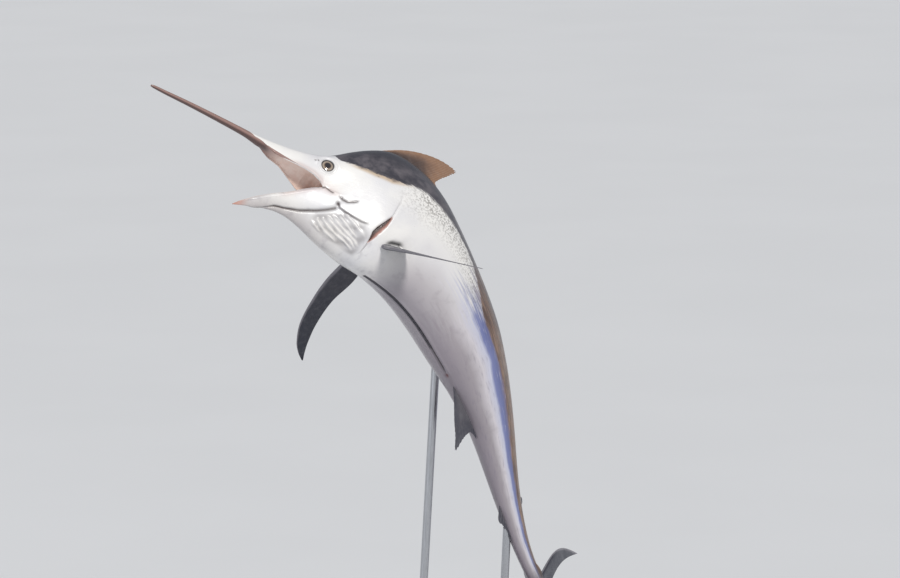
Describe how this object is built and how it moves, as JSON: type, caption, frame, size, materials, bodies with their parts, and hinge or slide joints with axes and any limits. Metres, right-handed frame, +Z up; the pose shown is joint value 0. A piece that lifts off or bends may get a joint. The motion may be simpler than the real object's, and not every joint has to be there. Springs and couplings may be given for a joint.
{
  "type": "black marlin",
  "caption": "Life-size still model of a leaping black marlin with its mouth open and its body bent, held over a flat display base by slender rods.",
  "frame": {"origin": "middle of the display base's underside", "axes": "+Z up, -X towards the side that the bill points to, -Y towards the side that the belly and the open mouth show"},
  "size_m": [1.7587, 1.5093, 2.8699],
  "materials": {
    "skin": "wet skin, silver white and lilac grey below, slate and bronze on the back",
    "bill": "fine rough grain, brown above and pinkish at the sides",
    "fins": "satin, dark slate blue with fine ray ridges",
    "sail": "satin, brown membrane with darker rays",
    "eye": "clear gloss over a dark pupil and a pale gold iris",
    "stand_base": "dark stained wood, satin varnish",
    "stand_rods": "brushed along its length"
  },
  "bodies": {
    "root": {"bill": "bill", "head": "skin", "lower_jaw": "skin", "torso_front": "skin", "torso_rear": "skin", "tail_stock": "skin", "eye_left": "eye", "eye_right": "eye", "first_dorsal_fin_front": "sail", "first_dorsal_fin_middle": "sail", "first_dorsal_fin_rear": "sail", "second_dorsal_fin": "fins", "first_anal_fin": "fins", "second_anal_fin": "fins", "pectoral_fin_left": "fins", "pectoral_fin_right": "fins", "pelvic_fin_left": "fins", "pelvic_fin_right": "fins", "caudal_fin_upper": "fins", "caudal_fin_lower": "fins", "stand_base": "stand_base", "stand_rod_belly": "stand_rods", "stand_rod_tail": "stand_rods"}
  },
  "joints": []
}
